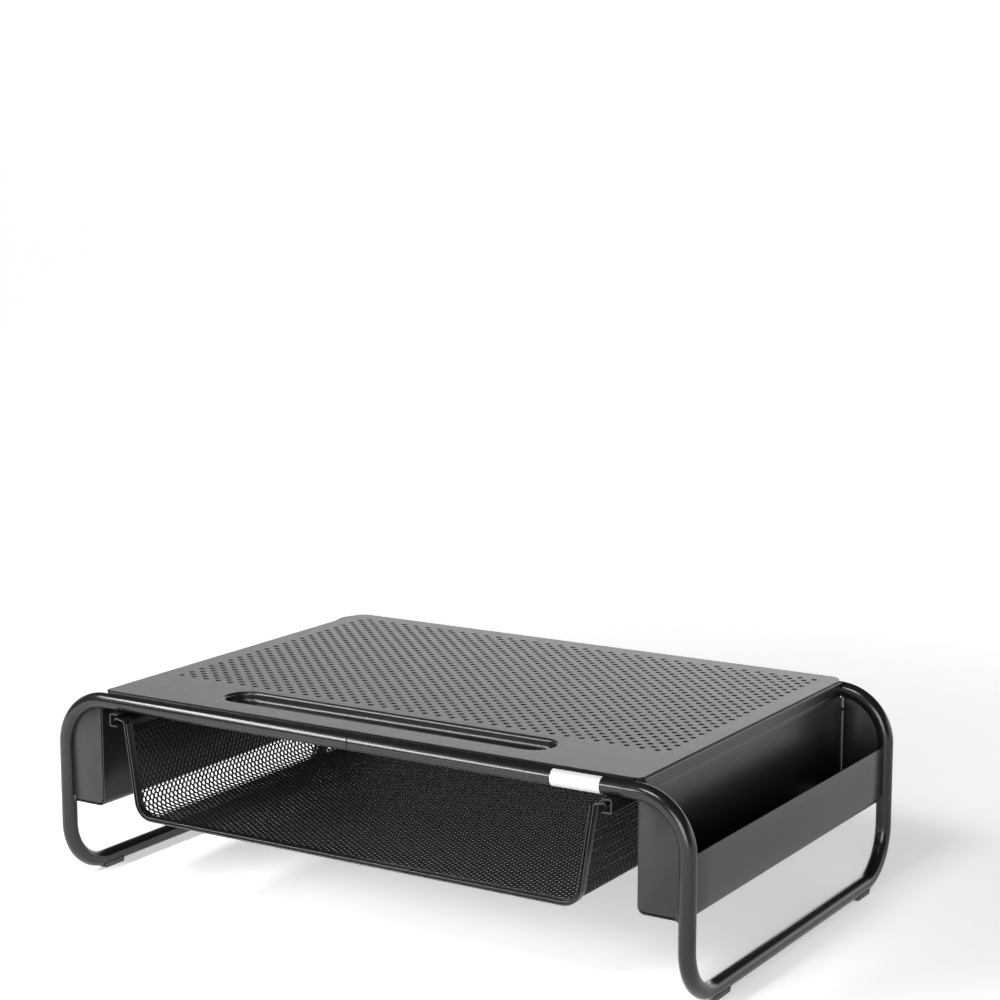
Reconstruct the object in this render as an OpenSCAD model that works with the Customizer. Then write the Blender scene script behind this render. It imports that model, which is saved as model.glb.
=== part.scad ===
// Monitor riser stand. Two bent tube halves carry a sheet-metal top panel, an open paper bin on
// each side and a mesh drawer that slides out to the front.
// +X is to the right, +Y to the back and +Z up. The origin is on the desk, under the middle of
// the stand's box. All sizes are in millimetres.

/* [Overall] */
// Width across the outside of the legs
overall_w = 457; // [445:1:470]
// Distance between the front and the rear tube axes
axis_depth = 275; // [265:1:290]
// Height of the top panel's surface above the desk
overall_h = 129.4; // [128:0.1:135]

/* [Tube frame] */
// Outer diameter of the frame tube
tube_d = 10; // [9.5:0.1:10.5]
// Wall thickness of the frame tube
tube_wall = 1.2; // [1:0.1:1.5]
// Centre-line radius of every tube bend
bend_r = 32; // [30:1:34]
// Gap of the butt seam between the two halves
seam_gap = 0.3; // [0.2:0.1:0.6]
// Length of the joiner sleeve inside each seam
joiner_len = 40; // [30:1:60]
// Wall thickness of the joiner sleeve
joiner_wall = 0.8; // [0.6:0.1:1]

/* [Top panel] */
// Thickness of the panels and bins
sheet_t = 1.2; // [1:0.1:1.4]
// Width of the top panel across its folded sides
panel_w = 388; // [384:1:390]
// Height of the folded sides
fold_h = 7; // [6:0.5:8]
// Outer radius of the fold
fold_r = 1.8; // [1.6:0.1:3]
// Corner radius of the top panel at the front
front_corner_r = 2.5; // [2:0.5:6]
// Corner radius of the top panel at the back
rear_corner_r = 9; // [7:0.5:10]
// Length of the pen tray
tray_len = 236; // [200:1:260]
// Width of the pen tray
tray_w = 25.5; // [22:0.5:28]
// Depth of the pen tray
tray_depth = 6.5; // [6:0.5:8]
// Distance from the front tube axis to the middle of the pen tray
tray_setback = 34.8; // [32:0.1:40]

/* [Side bins] */
// Height of the bin's underside above the desk
bin_bottom = 53.6; // [52:0.1:56]
// Height of the bin's outer wall above the desk
bin_top = 90; // [86:0.1:91]
// Outer radius of the bin's folded edges
bin_fold_r = 4.5; // [2.5:0.1:5]
// Gap between the end panel and the inner wall
end_panel_gap = 0.9; // [0.6:0.1:2]
// Height of the end panel's lower edge above the bin's underside
end_panel_rise = 2.5; // [1.5:0.1:4]
// Radius of the end panel's lower corner
end_panel_r = 3.5; // [2:0.5:5]

/* [Drawer] */
// Width of the drawer across its hanger flanges
drawer_w = 353; // [349:1:355]
// Length of the drawer
drawer_len = 268; // [240:1:268]
// Height of the drawer's underside above the desk
drawer_bottom = 52.2; // [50:0.1:55]
// How far the drawer's front rim stands in front of the front tube axis
rim_proud = 8; // [7:0.5:9]
// Width of the front rim along the drawer's length
rim_w = 5.7; // [5:0.1:7]
// Thickness of the front rim across the mesh
rim_t = 2.8; // [2.4:0.1:3]
// Thickness of the mesh sheet
mesh_t = 0.8; // [0.6:0.1:1]
// Outer radius of the drawer's lower edges
drawer_corner_r = 13; // [10:0.5:16]
// Lean of the drawer's sides from upright, in degrees
side_lean = 8.8; // [6:0.1:10]
// Travel of the drawer
drawer_travel = 200; // [150:1:200]

/* [Rails] */
// Height of the drawer rails
rail_h = 8.5; // [8.3:0.1:8.6]
// Depth of the rail's channel, across the drawer
rail_w = 6.5; // [6:0.1:7]
// Thickness of the rail sheet
rail_t = 1; // [0.8:0.1:1]

/* [Feet] */
// Thickness of the rubber feet under the tube
foot_h = 1.4; // [1:0.1:2.5]
// Length of each foot
foot_len = 17; // [14:1:22]
// Distance from the tube axis at either end to the middle of the nearest foot
foot_setback = 38; // [36:1:60]

/* [Label] */
// Length of the blank label on the front rail
label_len = 31.5; // [20:0.5:40]
// Distance from the stand's middle to the label's middle
label_x = 154.7; // [120:0.1:160]

/* [Hidden] */
$fn = 64;

steel_black = [0.07, 0.07, 0.075];
mesh_black = [0.1, 0.1, 0.105];
rubber_black = [0.03, 0.03, 0.03];
label_white = [0.93, 0.93, 0.92];

// tube frame
tube_r = tube_d / 2;
bore_r = tube_r - tube_wall;
leg_x = overall_w / 2 - tube_r;
front_y = (rim_proud - tube_r - axis_depth) / 2;
rear_y = front_y + axis_depth;
middle_y = (front_y + rear_y) / 2;
rail_tube_z = overall_h - sheet_t - tube_r;
runner_z = foot_h + tube_r;
bend_x = leg_x - bend_r;
top_bend_z = rail_tube_z - bend_r;
low_bend_z = runner_z + bend_r;

// top panel
panel_x = panel_w / 2;
panel_front_y = front_y + 1;
panel_rear_y = rear_y + tube_r - 0.2;

// side bins
bin_inner_x = panel_x - sheet_t;
bin_outer_x = leg_x + sheet_t / 2;
bin_front_y = front_y + tube_r - 0.02;
bin_rear_y = rear_y - tube_r + 0.02;
weld_gap = 0.3;

// end panels
end_panel_x = panel_x + end_panel_gap;
end_panel_z = bin_bottom + end_panel_rise;
notch_w = 1.2;
notch_z = overall_h - 19;

// rails
tube_under_z = rail_tube_z - tube_r;
rail_bottom = tube_under_z - rail_h;
rail_outer_x = drawer_w / 2 + 4;
rail_inner_x = rail_outer_x - rail_w;
rail_rear_y = rear_y + 3;

// drawer
drawer_front_y = front_y - rim_proud;
drawer_rear_y = drawer_front_y + drawer_len;
flange_tip_x = drawer_w / 2;
flange_clear = 0.4;
flange_bottom = rail_bottom + rail_t + flange_clear;
flange_h = 5.2;
flange_top = flange_bottom + flange_h;
flange_w = 7.5;
flange_t = 1;
flange_drop = 6;
flange_slope = 12;
return_setback = 10;
return_w = 4.5;
hem_z = flange_bottom + 1.8;
side_top_x = flange_tip_x - flange_w;
corner_z = drawer_bottom + drawer_corner_r;
corner_x = side_top_x - drawer_corner_r * cos(side_lean)
    - (flange_bottom - corner_z + drawer_corner_r * sin(side_lean)) * tan(side_lean);
hanger_x = side_x(hem_z, 0) + 1.2;
hanger_z = hem_z + 0.55;
tip_z = hanger_z + (flange_tip_x - hanger_x) * tan(flange_slope);
mesh_out = (rim_t - mesh_t) / 2;
mesh_in = mesh_out + mesh_t;
rear_rim_h = 6;
rear_rim_t = 1.8;
tab_len = 6;
tab_reach = 2.3;
stop_len = 4;
stop_clear = 0.3;
stop_depth = 2.2;

// ---- shared shapes ----

// ring section of the frame tube
module tube_section() {
    difference() {
        circle(r = tube_r);
        circle(r = bore_r);
    }
}

// straight tube of the given length, starting at the origin and running along +Z
module tube_run(length) {
    linear_extrude(height = length) tube_section();
}

// quarter bend from +X to +Y, centred on the origin
module tube_bend() {
    rotate_extrude(angle = 90) translate([bend_r, 0]) tube_section();
}

// front quarter of the right-hand loop: half rail, top bend, leg and lower bend
module front_quarter() {
    translate([seam_gap / 2, front_y, rail_tube_z]) rotate([0, 90, 0])
        tube_run(bend_x - seam_gap / 2);
    translate([bend_x, front_y, top_bend_z]) rotate([90, 0, 0]) tube_bend();
    translate([leg_x, front_y, low_bend_z]) tube_run(top_bend_z - low_bend_z);
    translate([leg_x, front_y + bend_r, low_bend_z]) rotate([0, 90, 0]) rotate([0, 0, -90])
        tube_bend();
}

// copies what stands at the front to the back
module to_rear() {
    translate([0, 2 * middle_y, 0]) mirror([0, 1, 0]) children();
}

// copies what stands on the right to the left
module to_left() {
    mirror([1, 0, 0]) children();
}

// extrudes an outline drawn in X and Z along Y, from y0 to y1
module along_y(y0, y1) {
    translate([0, y1, 0]) rotate([90, 0, 0]) linear_extrude(height = y1 - y0) children();
}

// slot outline with round ends, along X
module stadium(length, width) {
    square([length - width, width], center = true);
    for (side = [-1, 1])
        translate([side * (length - width) / 2, 0]) circle(d = width);
}

// rectangle from one corner to the other
module rect(x0, z0, x1, z1) {
    translate([x0, z0]) square([x1 - x0, z1 - z0]);
}

// quarter ring of a folded sheet edge, centred on c and opening towards the given quadrant
module fold_section(c, r_out, thick, quadrant) {
    translate(c) intersection() {
        difference() {
            circle(r = r_out);
            circle(r = r_out - thick);
        }
        rotate(90 * quadrant) square(r_out + 1);
    }
}

// points of an arc
function arc(c, r, a0, a1, steps) =
    [for (i = [0:steps]) c + r * [cos(a0 + (a1 - a0) * i / steps), sin(a0 + (a1 - a0) * i / steps)]];

// half-width of the drawer's side at height z, inset from its outer face
function side_x(z, inset) = corner_x + (drawer_corner_r - inset) / cos(side_lean)
    + (z - corner_z) * tan(side_lean);

// drawer's cross-section down from z_top, inset from its outer face
module drawer_outline(inset, z_top) {
    r = drawer_corner_r - inset;
    right = concat([[side_x(z_top, inset), z_top]],
        arc([corner_x, corner_z], r, -side_lean, -90, 8));
    left = [for (i = [len(right) - 1:-1:0]) [-right[i][0], right[i][1]]];
    polygon(concat(right, left));
}

// ---- stand ----

module frame_half() {
    color(steel_black) {
        front_quarter();
        to_rear() front_quarter();
        translate([leg_x, rear_y - bend_r, runner_z]) rotate([90, 0, 0])
            tube_run(axis_depth - 2 * bend_r);
    }
}

module left_frame_tube() {
    to_left() frame_half();
}

module right_frame_tube() {
    frame_half();
}

// sleeve centred on the butt seam
module tube_joiner(y) {
    color("silver") translate([-joiner_len / 2, y, rail_tube_z]) rotate([0, 90, 0])
        difference() {
            cylinder(r = bore_r, h = joiner_len);
            translate([0, 0, -1]) cylinder(r = bore_r - joiner_wall, h = joiner_len + 2);
        }
}

module front_tube_joiner() {
    tube_joiner(front_y);
}

module rear_tube_joiner() {
    tube_joiner(rear_y);
}

// plan of the flat part of the top panel, with round corners
module panel_plan() {
    flat_x = panel_x - fold_r;
    hull() for (side = [-1, 1]) {
        translate([side * (flat_x - front_corner_r), panel_front_y + front_corner_r])
            circle(r = front_corner_r);
        translate([side * (flat_x - rear_corner_r), panel_rear_y - rear_corner_r])
            circle(r = rear_corner_r);
    }
}

// folded side of the top panel, in X and Z
module panel_fold() {
    fold_section([panel_x - fold_r, overall_h - fold_r], fold_r, sheet_t, 0);
    rect(panel_x - sheet_t, overall_h - fold_h, panel_x, overall_h - fold_r);
}

module top_panel() {
    color(steel_black) {
        difference() {
            translate([0, 0, overall_h - sheet_t]) linear_extrude(height = sheet_t) panel_plan();
            translate([0, front_y + tray_setback, overall_h - tray_depth])
                linear_extrude(height = tray_depth + 1) stadium(tray_len, tray_w);
        }
        for (side = [0, 1])
            mirror([side, 0, 0])
                along_y(panel_front_y + front_corner_r, panel_rear_y - rear_corner_r)
                    panel_fold();
        // pen tray, pressed down from the sheet
        translate([0, front_y + tray_setback, overall_h - tray_depth - sheet_t]) difference() {
            linear_extrude(height = tray_depth + sheet_t)
                stadium(tray_len + 2 * sheet_t, tray_w + 2 * sheet_t);
            translate([0, 0, sheet_t]) linear_extrude(height = tray_depth + 1)
                stadium(tray_len, tray_w);
        }
    }
}

// trough of the right-hand bin between the legs, in X and Z
module bin_section() {
    floor_z = bin_bottom + sheet_t;
    fold_z = bin_bottom + bin_fold_r;
    rect(bin_inner_x, fold_z, panel_x, overall_h - fold_h - weld_gap);
    rect(bin_inner_x + bin_fold_r, bin_bottom, bin_outer_x - bin_fold_r, floor_z);
    rect(bin_outer_x - sheet_t, fold_z, bin_outer_x, bin_top);
    fold_section([bin_inner_x + bin_fold_r, fold_z], bin_fold_r, sheet_t, 2);
    fold_section([bin_outer_x - bin_fold_r, fold_z], bin_fold_r, sheet_t, 3);
}

// inner wall and floor that run on past the tube, in X and Z
module bin_end_section() {
    fold_z = bin_bottom + bin_fold_r;
    rect(bin_inner_x, fold_z, panel_x, tube_under_z);
    rect(bin_inner_x + bin_fold_r, bin_bottom, leg_x - tube_r - weld_gap, bin_bottom + sheet_t);
    fold_section([bin_inner_x + bin_fold_r, fold_z], bin_fold_r, sheet_t, 2);
}

module bin_half() {
    color(steel_black) {
        along_y(bin_front_y, bin_rear_y) bin_section();
        along_y(front_y - sheet_t, bin_front_y) bin_end_section();
        along_y(bin_rear_y, rear_y + sheet_t) bin_end_section();
    }
}

module left_bin() {
    to_left() bin_half();
}

module right_bin() {
    bin_half();
}

// plate between the inner wall, the leg and the bend of the tube, in X and Z
module end_panel_section() {
    r = end_panel_r;
    difference() {
        intersection() {
            rect(end_panel_x, end_panel_z, leg_x - tube_r, tube_under_z);
            union() {
                translate([bend_x, top_bend_z]) circle(r = bend_r - tube_r);
                rect(end_panel_x, end_panel_z, leg_x, top_bend_z);
            }
        }
        // relief at the upper inner corner
        rect(end_panel_x - 1, notch_z, end_panel_x + notch_w, tube_under_z + 1);
        // round lower inner corner
        difference() {
            rect(end_panel_x - 1, end_panel_z - 1, end_panel_x + r, end_panel_z + r);
            translate([end_panel_x + r, end_panel_z + r]) circle(r = r);
        }
    }
}

module end_panel() {
    color(steel_black) along_y(front_y - sheet_t + 0.2, front_y + 0.2) end_panel_section();
}

module left_front_end_panel() {
    to_left() end_panel();
}

module right_front_end_panel() {
    end_panel();
}

module left_rear_end_panel() {
    to_left() to_rear() end_panel();
}

module right_rear_end_panel() {
    to_rear() end_panel();
}

// C channel welded under the front and rear rails of the frame, with its end stops
module drawer_rail() {
    color(steel_black) {
        along_y(drawer_front_y, rail_rear_y) difference() {
            rect(rail_inner_x, rail_bottom, rail_outer_x, tube_under_z);
            rect(rail_inner_x - 1, rail_bottom + rail_t, rail_outer_x - rail_t, tube_under_z - rail_t);
        }
        // lanced tab behind the closed drawer
        along_y(drawer_rear_y + stop_clear, drawer_rear_y + stop_clear + rail_t)
            rect(rail_inner_x + 1, rail_bottom, rail_outer_x, tube_under_z);
        // dimple that catches the drawer's stop tab when it is out
        along_y(drawer_rear_y - tab_len - drawer_travel - stop_clear - stop_len,
                drawer_rear_y - tab_len - drawer_travel - stop_clear)
            rect(rail_outer_x - rail_t - stop_depth, rail_bottom + rail_t,
                 rail_outer_x, tube_under_z - rail_t);
    }
}

module left_drawer_rail() {
    to_left() drawer_rail();
}

module right_drawer_rail() {
    drawer_rail();
}

// rubber pad moulded to the underside of the floor runner
module foot(y) {
    pad_w = 8;
    color(rubber_black) along_y(y - foot_len / 2, y + foot_len / 2)
        translate([leg_x, runner_z]) difference() {
            union() {
                intersection() {
                    circle(r = tube_r + 0.8);
                    rect(-tube_r, -runner_z, tube_r, -tube_r / 2);
                }
                rect(-pad_w / 2, -runner_z, pad_w / 2, -tube_r / 2);
            }
            circle(r = tube_r);
        }
}

module front_left_foot() {
    to_left() foot(front_y + foot_setback);
}

module front_right_foot() {
    foot(front_y + foot_setback);
}

module rear_left_foot() {
    to_left() foot(rear_y - foot_setback);
}

module rear_right_foot() {
    foot(rear_y - foot_setback);
}

// thin label wrapped round the front of the tube
module front_label() {
    label_t = 0.15;
    wrap = 160;
    color(label_white) translate([label_x + label_len / 2, front_y, rail_tube_z])
        rotate([0, -90, 0]) rotate([0, 0, 270 - wrap / 2])
            rotate_extrude(angle = wrap) translate([tube_r, 0]) square([label_t, label_len]);
}

// ---- drawer ----

module drawer_mesh_tub() {
    color(mesh_black) along_y(drawer_front_y + rim_w, drawer_rear_y) difference() {
        drawer_outline(mesh_out, hem_z);
        translate([0, 0.01]) drawer_outline(mesh_in, hem_z);
    }
}

module drawer_back_mesh() {
    color(mesh_black) along_y(drawer_rear_y - mesh_t, drawer_rear_y)
        drawer_outline(mesh_in + 0.05, flange_bottom - rear_rim_h);
}

module drawer_front_rim() {
    color(steel_black) along_y(drawer_front_y, drawer_front_y + rim_w) difference() {
        drawer_outline(0, hem_z);
        translate([0, 0.01]) drawer_outline(rim_t, hem_z);
    }
}

// folded strip along the top of the back wall
module drawer_rear_rim() {
    low = flange_bottom - rear_rim_h;
    half_w = side_x(low, mesh_in) - 0.2;
    color(steel_black) along_y(drawer_rear_y - rear_rim_t, drawer_rear_y)
        rect(-half_w, low, half_w, flange_bottom);
}

// sheet that bends out from the drawer's side and rises to the tip, in X and Z
module hanger_section() {
    polygon([[side_x(hem_z, mesh_out), hem_z],
             [side_x(hem_z, 0), hem_z],
             [hanger_x, hanger_z],
             [flange_tip_x, tip_z],
             [flange_tip_x, tip_z + flange_t],
             [hanger_x, hanger_z + flange_t],
             [hanger_x - 1.3, hanger_z + 0.6],
             [side_x(hem_z, mesh_out) + 0.1, hem_z + 0.5]]);
}

// return of the sheet, folded down at the tip and back in to slide on the rail's lip
module return_section() {
    rect(flange_tip_x - flange_t, flange_bottom, flange_tip_x, tip_z + flange_t / 2);
    rect(flange_tip_x - return_w, flange_bottom, flange_tip_x, flange_bottom + flange_t);
}

// leg that holds the mesh from outside, in X and Z
module leg_section() {
    low = flange_bottom - flange_drop;
    polygon([[side_x(hem_z, mesh_out), hem_z],
             [side_x(low, mesh_out), low],
             [side_x(low, mesh_out - flange_t), low],
             [side_x(hem_z, mesh_out - flange_t), hem_z]]);
}

module drawer_flange() {
    color(steel_black) {
        along_y(drawer_front_y, drawer_rear_y) hanger_section();
        along_y(drawer_front_y + return_setback, drawer_rear_y) return_section();
        along_y(drawer_front_y + rim_w, drawer_rear_y) leg_section();
    }
}

module drawer_left_flange() {
    to_left() drawer_flange();
}

module drawer_right_flange() {
    drawer_flange();
}

// tabs at the back of the flanges that meet the rails' dimples when the drawer is out
module drawer_stop_tabs() {
    color(steel_black) for (side = [0, 1])
        mirror([side, 0, 0]) along_y(drawer_rear_y - tab_len, drawer_rear_y)
            rect(flange_tip_x, flange_bottom + 0.6, flange_tip_x + tab_reach, flange_top - 0.6);
}

left_frame_tube();
right_frame_tube();
front_tube_joiner();
rear_tube_joiner();
top_panel();
left_bin();
right_bin();
left_front_end_panel();
right_front_end_panel();
left_rear_end_panel();
right_rear_end_panel();
left_drawer_rail();
right_drawer_rail();
front_left_foot();
front_right_foot();
rear_left_foot();
rear_right_foot();
front_label();
drawer_mesh_tub();
drawer_back_mesh();
drawer_front_rim();
drawer_rear_rim();
drawer_left_flange();
drawer_right_flange();
drawer_stop_tabs();
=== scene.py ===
"""Looks of the monitor riser stand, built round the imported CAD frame. Lengths are in metres."""
import math

import bmesh
import bpy
from mathutils import Matrix, Vector
from mathutils.geometry import delaunay_2d_cdt


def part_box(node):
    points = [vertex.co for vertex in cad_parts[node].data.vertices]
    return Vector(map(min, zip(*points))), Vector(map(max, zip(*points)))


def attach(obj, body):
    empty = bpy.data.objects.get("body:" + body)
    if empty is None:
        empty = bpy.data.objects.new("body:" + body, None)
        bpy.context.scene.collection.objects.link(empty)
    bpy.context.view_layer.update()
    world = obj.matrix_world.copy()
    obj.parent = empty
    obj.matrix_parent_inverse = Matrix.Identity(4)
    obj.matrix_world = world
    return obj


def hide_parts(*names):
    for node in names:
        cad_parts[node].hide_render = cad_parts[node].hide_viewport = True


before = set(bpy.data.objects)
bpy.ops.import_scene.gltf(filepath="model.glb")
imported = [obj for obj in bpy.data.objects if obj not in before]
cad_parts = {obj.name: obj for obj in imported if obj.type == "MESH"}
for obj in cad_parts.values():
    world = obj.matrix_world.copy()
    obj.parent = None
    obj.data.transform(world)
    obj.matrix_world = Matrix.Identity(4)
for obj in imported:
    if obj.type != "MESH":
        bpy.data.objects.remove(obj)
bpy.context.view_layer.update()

MM = 0.001
STAND = "stand"
DRAWER = "drawer"

# glow of the table beside the stand and far from it, and where one turns into the other
GLOW_NEAR, GLOW_FAR = 0.42, 0.84
GLOW_START, GLOW_END = 0.4, 1.3
# bright band of the studio wall: its strength, and its upper edge as the sine of the elevation
BAND_LIGHT = 1.55
BAND_TOP = 0.33
BAND_FADE = 0.05
# rest of the room, at the horizon and overhead
ROOM_LIGHT = 0.08
TOP_LIGHT = 0.05

LENS_MM = 82.5
CAMERA_PLACE = (0.7678, -1.2028, 0.4762)
CAMERA_TILT = 9.033
CAMERA_TURN = 31.907

# ---------------------------------------------------------------- places taken from the frame
tube_low, tube_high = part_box("right_frame_tube")
panel_low, panel_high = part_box("top_panel")
bin_low, bin_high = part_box("right_bin")
end_low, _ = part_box("right_front_end_panel")
rail_low, rail_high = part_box("right_drawer_rail")
rim_low, rim_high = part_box("drawer_front_rim")
_, tub_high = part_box("drawer_mesh_tub")
flange_low, flange_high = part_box("drawer_right_flange")
rear_rim_low, rear_rim_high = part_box("drawer_rear_rim")
label_low, label_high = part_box("front_label")
sleeve_low, sleeve_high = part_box("front_tube_joiner")

# ---------------------------------------------------------------- sizes the boxes do not give
TUBE_R = 5.0 * MM
BEND_R = 32.0 * MM
SHEET_T = 1.2 * MM
BIN_SHEET_T = 0.9 * MM
FOLD_R = 1.8 * MM
FOLD_H = 7.0 * MM
FRONT_CORNER_R = 2.5 * MM
FRONT_ROLL_R = 2.6 * MM
FRONT_ROLL_DEG = 50
REAR_CORNER_R = 9.0 * MM
TRAY_LEN = 236.0 * MM
TRAY_W = 25.5 * MM
TRAY_DEPTH = 6.5 * MM
TRAY_SETBACK = 34.8 * MM
HOLE_PITCH = 10.0 * MM
HOLE_R = 1.95 * MM
HOLE_COLUMNS = 72
HOLE_ROWS = 42
HOLE_FIELD_FRONT = 57.4 * MM
BIN_FOLD_R = 4.5 * MM
BIN_TOP = 90.0 * MM
RAIL_T = 1.0 * MM
RIM_T = 2.8 * MM
MESH_T = 0.8 * MM
DRAWER_CORNER_R = 13.0 * MM
SIDE_LEAN = math.radians(8.8)
FLANGE_W = 7.5 * MM
FLANGE_DROP = 6.0 * MM
RETURN_SETBACK = 10.0 * MM
END_PANEL_DROP = 0.7 * MM
RELIEF_BELOW_PANEL = 19 * MM
REAR_STOP_GAP = 0.3 * MM
DIMPLE_SETBACK = 208.3 * MM
DIMPLE_SIDES = 20
DIMPLE_R = 2.0 * MM
DIMPLE_DEPTH = 2.2 * MM

leg_x = tube_high.x - TUBE_R
front_y = tube_low.y + TUBE_R
rear_y = tube_high.y - TUBE_R
top_z = tube_high.z - TUBE_R
runner_z = tube_low.z + TUBE_R
bore_r = (sleeve_high.z - sleeve_low.z) / 2
tube_under_z = top_z - TUBE_R


# ---------------------------------------------------------------- materials
def node_tree(name):
    material = bpy.data.materials.new(name)
    material.use_nodes = True
    nodes, links = material.node_tree.nodes, material.node_tree.links
    return material, nodes, links, nodes["Principled BSDF"]


def noise(nodes, links, scale, detail=2.0):
    coords = nodes.new("ShaderNodeTexCoord")
    texture = nodes.new("ShaderNodeTexNoise")
    texture.inputs["Scale"].default_value = scale
    texture.inputs["Detail"].default_value = detail
    links.new(coords.outputs["Object"], texture.inputs["Vector"])
    return texture.outputs["Fac"]


def remap(nodes, links, value, low, high):
    node = nodes.new("ShaderNodeMapRange")
    node.inputs["From Min"].default_value = 0.3
    node.inputs["From Max"].default_value = 0.7
    node.inputs["To Min"].default_value = low
    node.inputs["To Max"].default_value = high
    links.new(value, node.inputs["Value"])
    return node.outputs["Result"]


def mix_colours(nodes, links, value, first, second):
    node = nodes.new("ShaderNodeMix")
    node.data_type = "RGBA"
    node.inputs["A"].default_value = (*first, 1)
    node.inputs["B"].default_value = (*second, 1)
    links.new(value, node.inputs["Factor"])
    return node.outputs["Result"]


def bump(nodes, links, height, strength, distance, normal=None):
    node = nodes.new("ShaderNodeBump")
    node.inputs["Strength"].default_value = strength
    node.inputs["Distance"].default_value = distance
    links.new(height, node.inputs["Height"])
    if normal:
        links.new(normal, node.inputs["Normal"])
    return node.outputs["Normal"]


def powder_coat(name, colour, rough, peel=0.015, grain=0.01, gloss=0.5):
    """Black powder coat: a soft orange peel, a finer grain and a slow change of gloss."""
    material, nodes, links, bsdf = node_tree(name)
    lighter = [c * 1.3 + 0.001 for c in colour]
    cloud = noise(nodes, links, 60, 3)
    links.new(mix_colours(nodes, links, cloud, colour, lighter), bsdf.inputs["Base Color"])
    links.new(remap(nodes, links, noise(nodes, links, 220, 4), rough - 0.015, rough + 0.02),
              bsdf.inputs["Roughness"])
    coarse = bump(nodes, links, noise(nodes, links, 650, 2), peel, 0.05 * MM)
    fine = bump(nodes, links, noise(nodes, links, 1500, 2), grain, 0.02 * MM, coarse)
    links.new(fine, bsdf.inputs["Normal"])
    bsdf.inputs["IOR"].default_value = 1.5
    bsdf.inputs["Specular IOR Level"].default_value = gloss
    return material


def rubber(name):
    material, nodes, links, bsdf = node_tree(name)
    cloud = noise(nodes, links, 300, 3)
    links.new(mix_colours(nodes, links, cloud, (0.05,) * 3, (0.08,) * 3),
              bsdf.inputs["Base Color"])
    links.new(remap(nodes, links, noise(nodes, links, 900, 4), 0.7, 0.85), bsdf.inputs["Roughness"])
    links.new(bump(nodes, links, noise(nodes, links, 1800, 4), 0.4, 0.06 * MM),
              bsdf.inputs["Normal"])
    return material


def vinyl(name):
    material, nodes, links, bsdf = node_tree(name)
    cloud = noise(nodes, links, 140, 3)
    links.new(mix_colours(nodes, links, cloud, (0.46, 0.46, 0.47), (0.5, 0.5, 0.51)),
              bsdf.inputs["Base Color"])
    links.new(remap(nodes, links, noise(nodes, links, 500, 2), 0.32, 0.42),
              bsdf.inputs["Roughness"])
    links.new(bump(nodes, links, noise(nodes, links, 900, 3), 0.15, 0.03 * MM),
              bsdf.inputs["Normal"])
    return material


def bare_steel(name):
    material, nodes, links, bsdf = node_tree(name)
    cloud = noise(nodes, links, 300, 4)
    links.new(mix_colours(nodes, links, cloud, (0.42, 0.42, 0.44), (0.55, 0.55, 0.56)),
              bsdf.inputs["Base Color"])
    links.new(remap(nodes, links, noise(nodes, links, 900, 3), 0.3, 0.45), bsdf.inputs["Roughness"])
    links.new(bump(nodes, links, noise(nodes, links, 1500, 3), 0.2, 0.03 * MM),
              bsdf.inputs["Normal"])
    bsdf.inputs["Metallic"].default_value = 1.0
    return material


tube_paint = powder_coat("tube_paint", (0.006, 0.006, 0.0065), 0.2, gloss=0.42)
sheet_paint = powder_coat("sheet_paint", (0.007, 0.007, 0.008), 0.29, gloss=0.46)
rim_paint = powder_coat("rim_paint", (0.007, 0.007, 0.0075), 0.3)
mesh_paint = powder_coat("mesh_paint", (0.004, 0.004, 0.004), 0.45, gloss=0.15)
foot_rubber = rubber("foot_rubber")
label_vinyl = vinyl("label_vinyl")
sleeve_steel = bare_steel("sleeve_steel")


# ---------------------------------------------------------------- mesh helpers
def apply_modifiers(piece):
    graph = bpy.context.evaluated_depsgraph_get()
    applied = bpy.data.meshes.new_from_object(piece.evaluated_get(graph))
    piece.modifiers.clear()
    piece.data = applied
    applied.name = piece.name


def add_piece(name, bm, body, material, nodes=(), sharp=35, bevel=0.0, thickness=0.0,
              offset=-1.0, weighted=False):
    """Turns bm into a piece with its modifiers applied, on its body and with its material."""
    bmesh.ops.remove_doubles(bm, verts=bm.verts, dist=1e-7)
    mesh = bpy.data.meshes.new(name)
    bm.to_mesh(mesh)
    bm.free()
    piece = bpy.data.objects.new(name, mesh)
    bpy.context.collection.objects.link(piece)
    if thickness:
        solid = piece.modifiers.new("solid", "SOLIDIFY")
        solid.thickness = thickness
        solid.offset = offset
        solid.use_even_offset = True
    if bevel:
        edge = piece.modifiers.new("edge", "BEVEL")
        edge.width = bevel
        edge.segments = 2
        edge.limit_method = "ANGLE"
        edge.angle_limit = math.radians(50)
    if thickness or bevel:
        apply_modifiers(piece)
    piece.data.shade_smooth()
    piece.data.set_sharp_from_angle(angle=math.radians(sharp))
    if weighted:
        # large flat faces keep their own normal right up to a fold
        normals = piece.modifiers.new("normals", "WEIGHTED_NORMAL")
        normals.keep_sharp = True
        apply_modifiers(piece)
    piece.data.materials.clear()
    piece.data.materials.append(material)
    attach(piece, body)
    if nodes:
        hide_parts(*nodes)
    return piece


def arc(cx, cz, radius, start, end, steps):
    """Points of an arc in a plane, angles in degrees."""
    angles = [math.radians(start + (end - start) * i / steps) for i in range(steps + 1)]
    return [(cx + radius * math.cos(a), cz + radius * math.sin(a)) for a in angles]


def between(start, end, steps):
    return [start + (end - start) * i / steps for i in range(steps + 1)]


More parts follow.
